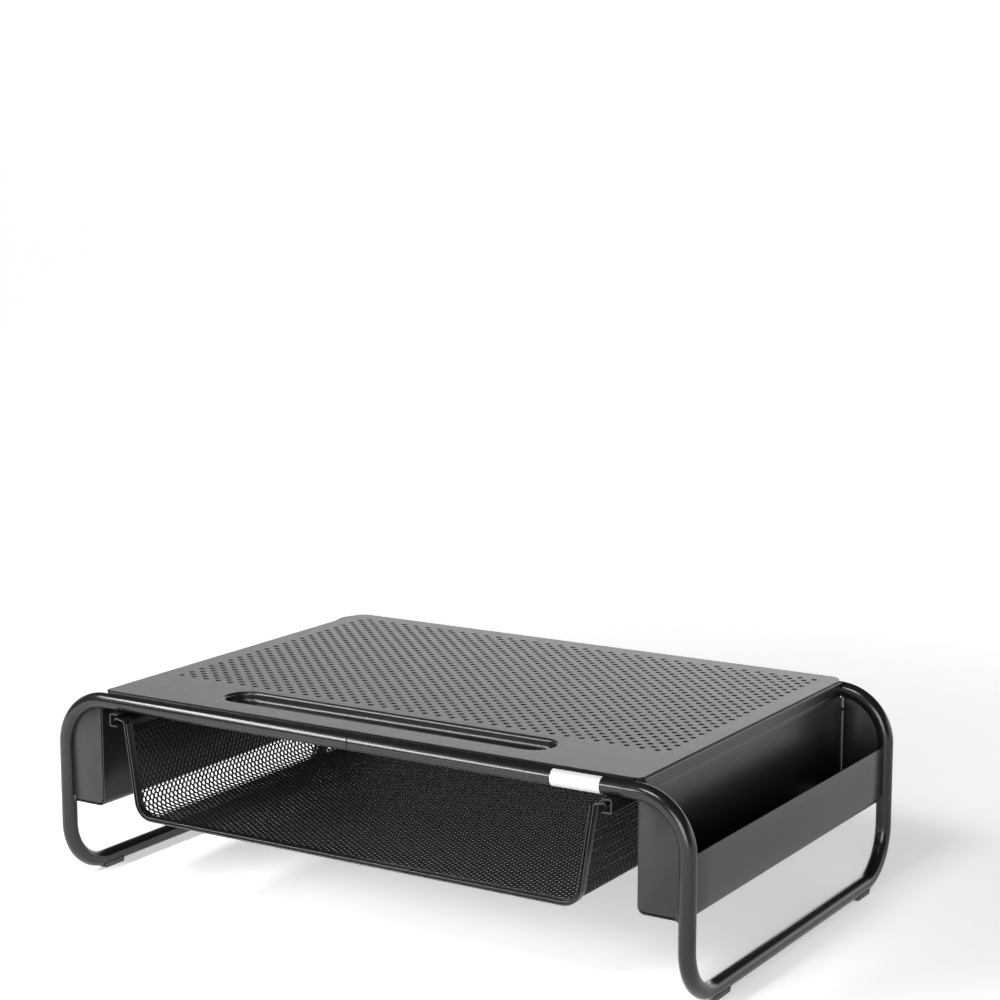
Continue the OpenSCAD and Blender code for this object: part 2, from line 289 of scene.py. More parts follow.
def grid_surface(bm, path, stations, keep=None, side=1):
    """Quads of an X-Z path run along Y through the stations. side=-1 mirrors it to the left."""
    rows = [[bm.verts.new((side * x, y, z)) for x, z in path] for y in stations]
    for j in range(len(rows) - 1):
        for i in range(len(path) - 1):
            middle = [(path[i][k] + path[i + 1][k]) / 2 for k in (0, 1)]
            if keep and not keep(middle, (stations[j] + stations[j + 1]) / 2):
                continue
            quad = [rows[j][i], rows[j][i + 1], rows[j + 1][i + 1], rows[j + 1][i]]
            bm.faces.new(quad if side > 0 else quad[::-1])
    loose = [v for v in bm.verts if not v.link_faces]
    bmesh.ops.delete(bm, geom=loose, context="VERTS")
    return bm


def plate(bm, outline, y0, y1):
    """Flat plate from an X-Z outline, between two planes of constant Y."""
    front = [bm.verts.new((x, y0, z)) for x, z in outline]
    back = [bm.verts.new((x, y1, z)) for x, z in outline]
    bm.faces.new(front)
    bm.faces.new(back[::-1])
    count = len(outline)
    for i in range(count):
        j = (i + 1) % count
        bm.faces.new([front[j], front[i], back[i], back[j]])
    bmesh.ops.recalc_face_normals(bm, faces=bm.faces)


# ---------------------------------------------------------------- frame tubes
def loop_path(side):
    """Centre line of one half of the frame, from the front seam round to the rear seam."""
    bend_steps = 24
    seam = 0.15 * MM
    bend_x = leg_x - BEND_R
    points = []

    def bend(centre, first, second):
        for i in range(bend_steps + 1):
            a = math.pi / 2 * i / bend_steps
            points.append(centre + BEND_R * (math.cos(a) * first + math.sin(a) * second))

    up, right, back = Vector((0, 0, 1)), Vector((1, 0, 0)), Vector((0, 1, 0))
    points += [Vector((x, front_y, top_z)) for x in between(seam, bend_x, 12)][:-1]
    bend(Vector((bend_x, front_y, top_z - BEND_R)), up, right)
    bend(Vector((leg_x, front_y + BEND_R, runner_z + BEND_R)), -back, -up)
    bend(Vector((leg_x, rear_y - BEND_R, runner_z + BEND_R)), -up, back)
    bend(Vector((bend_x, rear_y, top_z - BEND_R)), right, up)
    points += [Vector((x, rear_y, top_z)) for x in between(bend_x, seam, 12)][1:]
    return [Vector((side * p.x, p.y, p.z)) for p in points]


def frame_tube(name, side):
    """Bent tube with a small chamfer and a real bore at each end."""
    chamfer = 0.35 * MM
    bore_depth = 18 * MM
    path = loop_path(side)
    first, last = path[0], path[-1]
    inward = Vector((side, 0, 0))
    points = [first + inward * bore_depth, first, first, first + inward * chamfer]
    radii = [bore_r, bore_r, TUBE_R - chamfer, TUBE_R]
    points += path[1:-1]
    radii += [TUBE_R] * (len(path) - 2)
    points += [last + inward * chamfer, last, last, last + inward * bore_depth]
    radii += [TUBE_R, TUBE_R - chamfer, bore_r, bore_r]
    bm = bmesh.new()
    sweep_loop(bm, points, radii)
    bmesh.ops.recalc_face_normals(bm, faces=bm.faces)
    return add_piece(name + "_bent", bm, STAND, tube_paint, [name], sharp=40)


def sweep_loop(bm, points, radii):
    """Rings of changing radius along a path, with frames that do not twist and square ends."""
    segments = 44
    count = len(points)
    tangents = []
    for i in range(count):
        if i < 4:
            tangent = points[5] - points[4]
        elif i >= count - 4:
            tangent = points[-5] - points[-6]
        else:
            tangent = points[i + 1] - points[i - 1]
        tangents.append(tangent.normalized())
    normal = tangents[0].orthogonal().normalized()
    rings = []
    for point, tangent, radius in zip(points, tangents, radii):
        normal = (normal - tangent * normal.dot(tangent)).normalized()
        binormal = tangent.cross(normal)
        ring = []
        for k in range(segments):
            a = 2 * math.pi * k / segments
            spoke = math.cos(a) * normal + math.sin(a) * binormal
            ring.append(bm.verts.new(point + radius * spoke))
        rings.append(ring)
    for one, two in zip(rings, rings[1:]):
        for k in range(segments):
            n = (k + 1) % segments
            bm.faces.new([one[k], one[n], two[n], two[k]])
    bm.faces.new(rings[0][::-1])
    bm.faces.new(rings[-1])


# ---------------------------------------------------------------- top panel
def stadium_ring(centre_y, grow, z, end_steps=20, side_steps=24):
    """Loop of points round the pen tray, offset outwards by grow."""
    radius = TRAY_W / 2 + grow
    reach = (TRAY_LEN - TRAY_W) / 2
    points = [(x, centre_y - radius) for x in between(-reach, reach, side_steps)][:-1]
    points += [(reach + x, centre_y + y) for x, y in arc(0, 0, radius, -90, 90, end_steps)][:-1]
    points += [(x, centre_y + radius) for x in between(reach, -reach, side_steps)][:-1]
    points += [(-reach + x, centre_y + y) for x, y in arc(0, 0, radius, 90, 270, end_steps)][:-1]
    return [(x, y, z) for x, y in points]


def add_flat(bm, loops, z, drop):
    """Triangles between closed loops in one plane, without the areas where drop(x, y) is true."""
    points, edges = [], []
    for loop in loops:
        start = len(points)
        points += [Vector(p[:2]) for p in loop]
        edges += [(start + i, start + (i + 1) % len(loop)) for i in range(len(loop))]
    out, _, faces, *_ = delaunay_2d_cdt(points, edges, [], 1, 1e-7)
    made = [bm.verts.new((p.x, p.y, z)) for p in out]
    for face in faces:
        middle = sum((out[i] for i in face), Vector((0, 0))) / len(face)
        if not drop(middle.x, middle.y):
            bm.faces.new([made[i] for i in face])


def add_hole_cell(bm, x, y, z, half, angles):
    """Square of sheet with a round hole: four faces from its corners to the hole's ring."""
    ring = [bm.verts.new((x + HOLE_R * math.cos(a), y + HOLE_R * math.sin(a), z))
            for a in angles]
    corners = [bm.verts.new((x + sx * half, y + sy * half, z))
               for sx, sy in ((1, 1), (-1, 1), (-1, -1), (1, -1))]
    quarter = len(angles) // 4
    for k in range(4):
        span = [ring[(k * quarter + i) % len(ring)] for i in range(quarter + 1)]
        bm.faces.new([corners[k], corners[(k + 1) % 4]] + span[::-1])


def top_panel():
    """Perforated sheet with a pressed pen tray, folded sides and round corners."""
    bm = bmesh.new()
    top = panel_high.z
    y0, y1 = panel_low.y, panel_high.y
    # narrow flat strips beside the bends keep the shading of the sheet level
    strip = 0.6 * MM
    flat_x = panel_high.x - FOLD_R - strip
    roll_y = y0 + FRONT_ROLL_R * math.sin(math.radians(FRONT_ROLL_DEG))
    flat_y0 = roll_y + strip
    front_r, rear_r = FRONT_CORNER_R, REAR_CORNER_R
    tray_y = front_y + TRAY_SETBACK
    half = HOLE_PITCH / 4
    field_x = HOLE_COLUMNS * half
    field_y0 = front_y + HOLE_FIELD_FRONT
    field_y1 = field_y0 + HOLE_ROWS * 2 * half

    # flat sheet round the perforation and the tray
    side_stations = between(flat_y0 + front_r, y1 - rear_r, 26)
    front_x, rear_x = flat_x - front_r, flat_x - rear_r
    front_xs = between(-front_x, front_x, 30)
    outline = [(x, flat_y0) for x in front_xs][:-1]
    outline += arc(front_x, flat_y0 + front_r, front_r, -90, 0, 6)[:-1]
    outline += [(flat_x, y) for y in side_stations][:-1]
    outline += arc(rear_x, y1 - rear_r, rear_r, 0, 90, 10)[:-1]
    outline += [(x, y1) for x in between(rear_x, -rear_x, 30)][:-1]
    outline += arc(-rear_x, y1 - rear_r, rear_r, 90, 180, 10)[:-1]
    outline += [(-flat_x, y) for y in side_stations[::-1]][:-1]
    outline += arc(-front_x, flat_y0 + front_r, front_r, 180, 270, 6)[:-1]
    xs = between(-field_x, field_x, HOLE_COLUMNS)
    ys = between(field_y0, field_y1, HOLE_ROWS)
    field = [(x, field_y0) for x in xs[:-1]] + [(field_x, y) for y in ys[:-1]]
    field += [(x, field_y1) for x in xs[:0:-1]] + [(-field_x, y) for y in ys[:0:-1]]
    lip = 2.0 * MM
    tray_outer = stadium_ring(tray_y, lip, top)
    reach = (TRAY_LEN - TRAY_W) / 2

    def in_tray(x, y):
        dx = max(abs(x) - reach, 0)
        return math.hypot(dx, y - tray_y) < TRAY_W / 2 + lip * 0.99

    def in_field(x, y):
        return abs(x) < field_x and field_y0 < y < field_y1

    add_flat(bm, [outline, field, tray_outer], top, lambda x, y: in_tray(x, y) or in_field(x, y))

    # perforation: every second square of a checkerboard has a hole
    angles = [math.radians(45 + 22.5 * k) for k in range(16)]
    for i in range(HOLE_COLUMNS):
        for j in range(HOLE_ROWS):
            x = -field_x + (2 * i + 1) * half
            y = field_y0 + (2 * j + 1) * half
            if (i + j) % 2 == 0:
                add_hole_cell(bm, x, y, top, half, angles)
            else:
                bm.faces.new([bm.verts.new((x + sx * half, y + sy * half, top))
                              for sx, sy in ((-1, -1), (1, -1), (1, 1), (-1, 1))])

    # pen tray: rolled lip, wall, inner radius and floor
    inner_r = 2.5 * MM
    profile = [(lip + x, z) for x, z in arc(0, -lip, lip, 90, 180, 5)]
    profile += [(x - inner_r, z - TRAY_DEPTH + inner_r) for x, z in arc(0, 0, inner_r, 0, -90, 5)]
    rings = [[bm.verts.new(p) for p in stadium_ring(tray_y, grow, top + dz)]
             for grow, dz in profile]
    for one, two in zip(rings, rings[1:]):
        for k in range(len(one)):
            n = (k + 1) % len(one)
            bm.faces.new([one[k], two[k], two[n], one[n]][::-1])
    bm.faces.new(rings[-1])

    # front edge rolled down behind the rail
    roll = [(flat_y0, top)]
    roll += arc(roll_y, top - FRONT_ROLL_R, FRONT_ROLL_R, 90, 90 + FRONT_ROLL_DEG, 5)
    rows = [[bm.verts.new((x, y, z)) for y, z in roll] for x in front_xs]
    for one, two in zip(rows, rows[1:]):
        for k in range(len(roll) - 1):
            bm.faces.new([one[k], one[k + 1], two[k + 1], two[k]])

    # folded sides
    fold = [(flat_x, top)] + arc(panel_high.x - FOLD_R, top - FOLD_R, FOLD_R, 90, 0, 6)
    fold.append((panel_high.x, top - FOLD_H))
    for side in (1, -1):
        grid_surface(bm, fold, side_stations, side=side)
    bmesh.ops.remove_doubles(bm, verts=bm.verts, dist=1e-6)
    bmesh.ops.recalc_face_normals(bm, faces=bm.faces)
    if sum(f.normal.z * f.calc_area() for f in bm.faces) < 0:
        bmesh.ops.reverse_faces(bm, faces=bm.faces)
    return add_piece("top_panel_sheet", bm, STAND, sheet_paint, ["top_panel"],
                     thickness=SHEET_T, weighted=True)


# ---------------------------------------------------------------- side bins and end panels
def side_bin(name, side):
    """Trough between the legs, whose inner wall and floor run on under the tubes."""
    inner = bin_low.x
    outer = bin_high.x
    bottom = bin_low.z
    floor_end = leg_x - TUBE_R - 0.3 * MM
    top = bin_high.z
    wall_top = BIN_TOP
    path = [(inner, top), (inner, tube_under_z)]
    path += arc(inner + BIN_FOLD_R, bottom + BIN_FOLD_R, BIN_FOLD_R, 180, 270, 8)
    path += [(floor_end, bottom)]
    path += arc(outer - BIN_FOLD_R, bottom + BIN_FOLD_R, BIN_FOLD_R, 270, 360, 8)
    path += [(outer, wall_top)]
    joint = TUBE_R - 0.02 * MM
    y0, y1 = front_y + joint, rear_y - joint
    stations = [bin_low.y + 0.6 * MM, y0, *between(y0, y1, 12)[1:-1], y1, bin_high.y]

    def keep(middle, y):
        between_legs = y0 < y < y1
        return between_legs or (middle[0] < floor_end and middle[1] < tube_under_z)

    bm = bmesh.new()
    grid_surface(bm, path, stations, keep, side)
    return add_piece(name + "_trough", bm, STAND, sheet_paint, [name],
                     thickness=BIN_SHEET_T, bevel=0.2 * MM, offset=1.0)


def end_panel(name):
    """Plate between the inner wall, the leg and the bend, with its relief and round corner.

    Its inner edge leans away from the wall a little, so the gap is widest at the top."""
    low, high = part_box(name)
    side = 1 if low.x > 0 else -1
    wall = bin_low.x + BIN_SHEET_T
    outer = max(abs(low.x), abs(high.x))
    bottom_x, top_x = wall + 0.1 * MM, wall + 0.3 * MM
    bottom = low.z - END_PANEL_DROP
    bend_x, bend_z = leg_x - BEND_R, top_z - BEND_R
    radius = BEND_R - TUBE_R + 0.05 * MM
    corner = 3.5 * MM
    relief = 0.15 * MM
    notch_z = panel_high.z - RELIEF_BELOW_PANEL
    notch_x = top_x + relief
    top_angle = math.degrees(math.acos((notch_x - bend_x) / radius))
    outline = arc(bottom_x + corner, bottom + corner, corner, 180, 270, 6)
    outline += [(outer, bottom)]
    outline += arc(bend_x, bend_z, radius, 0, top_angle, 14)
    outline += [(notch_x, notch_z + 1.5 * MM)]
    outline += arc(top_x, notch_z + relief, relief, 0, -90, 4)
    bm = bmesh.new()
    plate(bm, [(side * x, z) for x, z in outline], low.y, high.y)
    return add_piece(name + "_plate", bm, STAND, sheet_paint, [name],
                     bevel=0.25 * MM)


# ---------------------------------------------------------------- drawer rails
def drawer_rail(name, side):
    """C channel with folded edges, its rear stop and the dimple that catches the drawer."""
    t, r = RAIL_T, 1.2 * MM
    lip, web = rail_low.x, rail_high.x
    low, high = rail_low.z, rail_high.z
    path = [(lip, high)] + arc(web - r, high - r, r, 90, 0, 4)
    path += arc(web - r, low + r, r, 0, -90, 4) + [(lip, low)]
    bm = bmesh.new()
    grid_surface(bm, path, between(rail_low.y, rail_high.y, 8), side=side)
    rail = add_piece(name + "_channel", bm, STAND, sheet_paint, [name],
                     thickness=t, bevel=0.18 * MM)
    bm = bmesh.new()
    stop_y = flange_high.y + REAR_STOP_GAP
    gap = 0.15 * MM
    corner = 0.8 * MM
    inner, outer = lip + t, web - t - gap
    bottom, top = low + t + gap, high - t - gap
    outline = arc(outer - corner, top - corner, corner, 0, 90, 3)
    outline += arc(inner + corner, top - corner, corner, 90, 180, 3)
    outline += [(inner, bottom), (outer, bottom)]
    plate(bm, [(side * x, z) for x, z in outline], stop_y, stop_y + t)
    add_piece(name + "_stop", bm, STAND, sheet_paint, bevel=0.15 * MM)
    # dimple: a low pressed dome on the inside of the web
    bm = bmesh.new()
    dome_y = flange_high.y - DIMPLE_SETBACK
    middle = (low + high) / 2
    rings = 6
    made = []
    for i in range(rings + 1):
        a = math.pi / 2 * i / rings
        reach = DIMPLE_DEPTH * math.sin(a)
        radius = DIMPLE_R * math.cos(a)
        x = side * (web - t - reach)
        if i == rings:
            made.append([bm.verts.new((x, dome_y, middle))])
        else:
            turns = [2 * math.pi * k / DIMPLE_SIDES for k in range(DIMPLE_SIDES)]
            made.append([bm.verts.new((x, dome_y + radius * math.cos(b),
                                       middle + radius * math.sin(b))) for b in turns])
    for one, two in zip(made, made[1:]):
        for k in range(DIMPLE_SIDES):
            n = (k + 1) % DIMPLE_SIDES
            far = [two[0]] if len(two) == 1 else [two[n], two[k]]
            bm.faces.new([one[k], one[n]] + far)
    bm.faces.new(made[0])
    bmesh.ops.recalc_face_normals(bm, faces=bm.faces)
    add_piece(name + "_dimple", bm, STAND, sheet_paint)
    return rail


# ---------------------------------------------------------------- drawer
hem_z = rim_high.z
clear_z = flange_low.z + FLANGE_DROP
side_top_x = flange_high.x - FLANGE_W
corner_z = rim_low.z + DRAWER_CORNER_R
corner_x = (side_top_x - DRAWER_CORNER_R * math.cos(SIDE_LEAN)
            - (clear_z - corner_z + DRAWER_CORNER_R * math.sin(SIDE_LEAN)) * math.tan(SIDE_LEAN))
mesh_inset = RIM_T / 2
lean_degrees = math.degrees(SIDE_LEAN)


def side_x(z, inset):
    """Half-width of the drawer's side at height z, inset from its outer face."""
    reach = (DRAWER_CORNER_R - inset) / math.cos(SIDE_LEAN)
    return corner_x + reach + (z - corner_z) * math.tan(SIDE_LEAN)


def tub_point(s, inset=mesh_inset):
    """X and Z at arc length s from the middle of the drawer's floor, to the right or the left."""
    side = 1 if s >= 0 else -1
    s = abs(s)
    radius = DRAWER_CORNER_R - inset
    turn = math.pi / 2 - SIDE_LEAN
    if s < corner_x:
        return side * s, rim_low.z + inset
    s -= corner_x
    if s < radius * turn:
        a = -math.pi / 2 + s / radius
        return side * (corner_x + radius * math.cos(a)), corner_z + radius * math.sin(a)
    s -= radius * turn
    x = corner_x + radius * math.cos(SIDE_LEAN) + s * math.sin(SIDE_LEAN)
    return side * x, corner_z - radius * math.sin(SIDE_LEAN) + s * math.cos(SIDE_LEAN)


CELL_Y = 4.0 * MM
CELL_ROW = 3.0 * MM
HOLE_HALF_W = 1.35 * MM
HOLE_HALF_H = 1.75 * MM


def mesh_cells(bm, place, rows, columns, keep):
    """Expanded-steel pattern: staggered six-sided holes, each with six strands round it.

    place(u, v) gives the point, with v across the rows; keep(u, v) tells which cells are made."""
    tip = (CELL_ROW ** 2 - CELL_Y ** 2 / 4) / (2 * CELL_ROW)
    hexagon = [(0, CELL_ROW - tip), (CELL_Y / 2, tip), (CELL_Y / 2, -tip),
               (0, tip - CELL_ROW), (-CELL_Y / 2, -tip), (-CELL_Y / 2, tip)]
    shoulder = HOLE_HALF_H * 0.42
    hole = [(0, HOLE_HALF_H), (HOLE_HALF_W, shoulder), (HOLE_HALF_W, -shoulder),
            (0, -HOLE_HALF_H), (-HOLE_HALF_W, -shoulder), (-HOLE_HALF_W, shoulder)]
    shared = {}

    def corner(u, v):
        key = (round(u / MM * 100), round(v / MM * 100))
        if key not in shared:
            shared[key] = bm.verts.new(place(u, v))
        return shared[key]

    for row in rows:
        for column in columns:
            u = (column + (0.5 if row % 2 else 0.0)) * CELL_Y
            v = row * CELL_ROW
            if not keep(u, v):
                continue
            outer = [corner(u + du, v + dv) for du, dv in hexagon]
            inner = [bm.verts.new(place(u + du, v + dv)) for du, dv in hole]
            for k in range(6):
                n = (k + 1) % 6
                bm.faces.new([outer[k], outer[n], inner[n], inner[k]])


def tub_mesh(name, side, nodes):
    """Half of the tub's expanded steel, from the middle of the floor to the top of one side."""
    y0 = rim_high.y - 2.5 * MM
    y1 = tub_high.y - 0.5 * MM
    radius = DRAWER_CORNER_R - mesh_inset
    side_run = (hem_z - corner_z + radius * math.sin(SIDE_LEAN)) / math.cos(SIDE_LEAN)
    reach = corner_x + radius * (math.pi / 2 - SIDE_LEAN) + side_run
    last_row = int((reach - CELL_ROW * 0.8) / CELL_ROW)
    rows = range(0, last_row + 1) if side > 0 else range(-last_row, 0)
    columns = range(0, int((y1 - y0) / CELL_Y) + 1)

    def place(u, v):
        x, z = tub_point(v)
        return x, min(y0 + CELL_Y / 2 + u, y1), z

    def keep(u, v):
        return y0 + u + CELL_Y < y1 + CELL_Y * 0.3

    bm = bmesh.new()
    mesh_cells(bm, place, rows, columns, keep)
    bmesh.ops.recalc_face_normals(bm, faces=bm.faces)
    return add_piece(name, bm, DRAWER, mesh_paint, nodes, sharp=40,
                     thickness=MESH_T, offset=0.0)


def back_mesh():
    """Back wall of the drawer: flat expanded steel inside the tub's outline."""
    y = tub_high.y - MESH_T / 2 - 0.05 * MM
    low = rim_low.z + RIM_T * 0.7
    margin = 2.2 * MM

    def place(u, v):
        return u, y, low + v

    def keep(u, v):
        z = low + v
        if z < low + CELL_ROW * 0.7 or z > rear_rim_high.z - 1.5 * MM:
            return False
        half = side_x(z, mesh_inset)
        if z < corner_z:
            drop = corner_z - z
            radius = DRAWER_CORNER_R - mesh_inset
            half = corner_x + math.sqrt(max(radius ** 2 - drop ** 2, 0))
        return abs(u) < half - margin

    bm = bmesh.new()
    columns = range(-int(side_top_x / CELL_Y), int(side_top_x / CELL_Y) + 1)
    mesh_cells(bm, place, range(0, 30), columns, keep)
    bmesh.ops.recalc_face_normals(bm, faces=bm.faces)
    return add_piece("drawer_back_mesh_wall", bm, DRAWER, mesh_paint,
                     ["drawer_back_mesh"], sharp=40, thickness=MESH_T, offset=0.0)


def outline_stations(top, steps=10):
    """Places along the drawer's section from the right top, round the floor, to the left top.

    Each is a function of the inset that gives X and Z."""
    stations = []

    def on_side(z, side):
        return lambda inset: (side * side_x(z, inset), z)

    def on_corner(a, side):
        return lambda inset: (side * (corner_x + (DRAWER_CORNER_R - inset) * math.cos(a)),
                              corner_z + (DRAWER_CORNER_R - inset) * math.sin(a))

    def on_floor(x):
        return lambda inset: (x, rim_low.z + inset)

    bend = [math.radians(a) for a in between(-lean_degrees, -90, steps)]
    bend_top = corner_z + 1.0 * MM
    stations += [on_side(z, 1) for z in between(top, bend_top, 6)]
    stations += [on_corner(a, 1) for a in bend]
    stations += [on_floor(x) for x in between(corner_x, -corner_x, 24)[1:-1]]
    stations += [on_corner(a, -1) for a in bend[::-1]]
    stations += [on_side(z, -1) for z in between(top, bend_top, 6)[::-1]]
    return stations


def sweep_profile(bm, stations, profile):
    """Closed profile of (inset, y) points run through the stations, with both ends closed."""
    rings = []
    for station in stations:
        ring = []
        for inset, y in profile:
            x, z = station(inset)
            ring.append(bm.verts.new((x, y, z)))
        rings.append(ring)
    for one, two in zip(rings, rings[1:]):
        for k in range(len(profile)):
            n = (k + 1) % len(profile)
            bm.faces.new([one[k], one[n], two[n], two[k]])
    bm.faces.new(rings[0][::-1])
    bm.faces.new(rings[-1])
    bmesh.ops.recalc_face_normals(bm, faces=bm.faces)


def front_rim():
    """Doubled strip that clamps the mesh: an outer and an inner lip with a groove between them."""
    y = rim_low.y
    lip = 0.85 * MM
    depth = rim_high.y - rim_low.y
    groove = 1.7 * MM
    nose = lip / 2
    profile = [(nose + o, y + nose + dy) for o, dy in arc(0, 0, nose, 180, 360, 6)]
    profile += [(lip, y + groove), (RIM_T - lip, y + groove)]
    profile += [(RIM_T - nose + o, y + nose + dy) for o, dy in arc(0, 0, nose, 180, 360, 6)]
    tail = 0.3 * MM
    profile += [(RIM_T - tail + o, y + depth - tail + dy) for o, dy in arc(0, 0, tail, 0, 90, 3)]
    profile += [(tail + o, y + depth - tail + dy) for o, dy in arc(0, 0, tail, 90, 180, 3)]
    bm = bmesh.new()
    sweep_profile(bm, outline_stations(hem_z), profile)
    return add_piece("drawer_front_rim_strip", bm, DRAWER, rim_paint,
                     ["drawer_front_rim"], sharp=40)


def rear_binding():
    """Thin folded strip that binds the mesh where the tub meets the back wall."""
    width = 3.2 * MM
    y1 = tub_high.y
    soft = 0.25 * MM
    inner = 2.2 * MM
    outer = mesh_inset - MESH_T / 2 - 0.3 * MM
    profile = [(outer + soft + o, y1 - width + soft + dy) for o, dy in arc(0, 0, soft, 180, 270, 2)]
    profile += [(inner - soft + o, y1 - width + soft + dy)
                for o, dy in arc(0, 0, soft, 270, 360, 2)]
    profile += [(inner - soft + o, y1 - soft + dy) for o, dy in arc(0, 0, soft, 0, 90, 2)]
    profile += [(outer + soft + o, y1 - soft + dy) for o, dy in arc(0, 0, soft, 90, 180, 2)]
    bm = bmesh.new()
    sweep_profile(bm, outline_stations(rear_rim_low.z + 0.4 * MM), profile)
    return add_piece("drawer_rear_binding", bm, DRAWER, rim_paint, sharp=40)


def rear_rim():
    """Strip folded over the top of the back wall."""
    t = rear_rim_high.y - rear_rim_low.y
    r = t / 2
    middle_y = (rear_rim_low.y + rear_rim_high.y) / 2
    low, high = rear_rim_low.z, rear_rim_high.z
    outline = arc(middle_y, high - r, r, 0, 180, 8)
    outline += [(rear_rim_low.y, low + 0.3 * MM), (rear_rim_low.y + 0.3 * MM, low)]
    outline += [(rear_rim_high.y - 0.3 * MM, low), (rear_rim_high.y, low + 0.3 * MM)]
    bm = bmesh.new()
    x = rear_rim_high.x
    ends = [[bm.verts.new((end, y, z)) for y, z in outline] for end in (-x, x)]
    bm.faces.new(ends[0])
    bm.faces.new(ends[1][::-1])
    for k in range(len(outline)):
        n = (k + 1) % len(outline)
        bm.faces.new([ends[0][k], ends[1][k], ends[1][n], ends[0][n]])
    bmesh.ops.recalc_face_normals(bm, faces=bm.faces)
    return add_piece("drawer_rear_rim_fold", bm, DRAWER, rim_paint,
                     ["drawer_rear_rim"], sharp=40)


def flange(name, side):
    """Hanger: one sheet that holds the mesh, bends out and rises to the tip, with its return."""
    t = 0.95 * MM
    slope = 12
    inset = RIM_T / 2 - MESH_T / 2 - t / 2
    bend_r = 1.5 * MM
    tip_r = 0.9 * MM
    tip_x = flange_high.x - t / 2
    leg_low = hem_z - FLANGE_DROP - 1.8 * MM
    # outer side of the bend from the leaning leg to the rising sheet
    start_x, start_z = side_x(hem_z, inset), hem_z
    bend = arc(start_x + bend_r * math.cos(SIDE_LEAN), start_z - bend_r * math.sin(SIDE_LEAN),
               bend_r, 180 - lean_degrees, 90 + slope, 6)
    rise = math.tan(math.radians(slope))
    tip_top = bend[-1][1] + (tip_x - tip_r - bend[-1][0]) * rise
    turn = arc(tip_x - tip_r, tip_top - tip_r, tip_r, 90 + slope, 0, 6)
    sheet = [(side_x(leg_low, inset), leg_low), (side_x(hem_z - RIM_T, inset), hem_z - RIM_T)]
    sheet += bend + turn + [(tip_x, tip_top - tip_r - 0.5 * MM)]
    foot_z = clear_z + t / 2
    back = arc(tip_x - tip_r, foot_z + tip_r, tip_r, 0, -90, 6)
    folded = [turn[-1]] + back + [(tip_x - 4.0 * MM, foot_z)]
    behind_rim = rim_high.y

    def keep(middle, y):
        return y > behind_rim or middle[1] > hem_z - 0.1 * MM

    bm = bmesh.new()
    stations = [flange_low.y, behind_rim, *between(behind_rim, flange_high.y, 10)[1:]]
    grid_surface(bm, sheet, stations, keep, side)
    add_piece(name + "_hanger", bm, DRAWER, rim_paint, [name], sharp=50,
              thickness=t, bevel=0.15 * MM, offset=0.0)
    bm = bmesh.new()
    grid_surface(bm, folded, between(flange_low.y + RETURN_SETBACK, flange_high.y, 10), side=side)
    return add_piece(name + "_return", bm, DRAWER, rim_paint, [name], sharp=50,
                     thickness=t, bevel=0.15 * MM, offset=0.0)


def stop_tabs():
    """Tabs at the back of the flanges that meet the rails' dimples when the drawer is out."""
    low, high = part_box("drawer_stop_tabs")
    inner = flange_high.x - 0.4 * MM
    corner = 0.8 * MM
    bm = bmesh.new()
    for side in (1, -1):
        outline = [(inner, low.z), (high.x - corner, low.z)]
        outline += arc(high.x - corner, low.z + corner, corner, 270, 360, 4)[1:]
        outline += arc(high.x - corner, high.z - corner, corner, 0, 90, 4) + [(inner, high.z)]
        plate(bm, [(side * x, z) for x, z in outline], low.y, high.y)
    return add_piece("drawer_stop_tab_pair", bm, DRAWER, rim_paint,
                     ["drawer_stop_tabs"], bevel=0.2 * MM)


# ---------------------------------------------------------------- feet, label and welds
def foot(name):
    """Rubber pad moulded to the underside of the runner, with soft edges."""
    low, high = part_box(name)
    side = 1 if low.x > 0 else -1
    outer_r = TUBE_R + 0.75 * MM
    hug = 32
    outline = arc(0, 0, TUBE_R - 0.05 * MM, -hug, -180 + hug, 14)
    outline += [(outer_r * math.cos(math.radians(a)), outer_r * math.sin(math.radians(a)))
                for a in (-180 + hug + 3, -180 + hug + 10)]
    outline += [(-4.0 * MM, -runner_z + 0.5 * MM), (-3.5 * MM, -runner_z)]
    outline += [(3.5 * MM, -runner_z), (4.0 * MM, -runner_z + 0.5 * MM)]
    outline += [(outer_r * math.cos(math.radians(a)), outer_r * math.sin(math.radians(a)))
                for a in (-hug - 10, -hug - 3)]
    bm = bmesh.new()
    plate(bm, [(side * leg_x + x, runner_z + z) for x, z in outline], low.y, high.y)
    return add_piece(name + "_pad", bm, STAND, foot_rubber, [name], bevel=0.35 * MM)


def label():
    """Blank label wrapped round the front of the rail, a little above the paint."""
    t = front_y - TUBE_R - label_low.y
    radius = TUBE_R + 0.01 * MM
    wrap = 80
    bm = bmesh.new()
    angles = [math.radians(a) for a in between(-wrap, wrap, 36)]
    xs = between(label_low.x, label_high.x, 12)
    rows = [[bm.verts.new((x, front_y - radius * math.cos(a), top_z + radius * math.sin(a)))
             for a in angles] for x in xs]
    for one, two in zip(rows, rows[1:]):
        for k in range(len(angles) - 1):
            bm.faces.new([one[k], two[k], two[k + 1], one[k + 1]])
    bmesh.ops.recalc_face_normals(bm, faces=bm.faces)
    if bm.faces[0].normal.dot(bm.faces[0].calc_center_median() - Vector((0, front_y, top_z))) < 0:
        bmesh.ops.reverse_faces(bm, faces=bm.faces)
    return add_piece("front_label_blank", bm, STAND, label_vinyl, ["front_label"],
                     thickness=max(t, 0.1 * MM) - 0.02 * MM, offset=1.0)


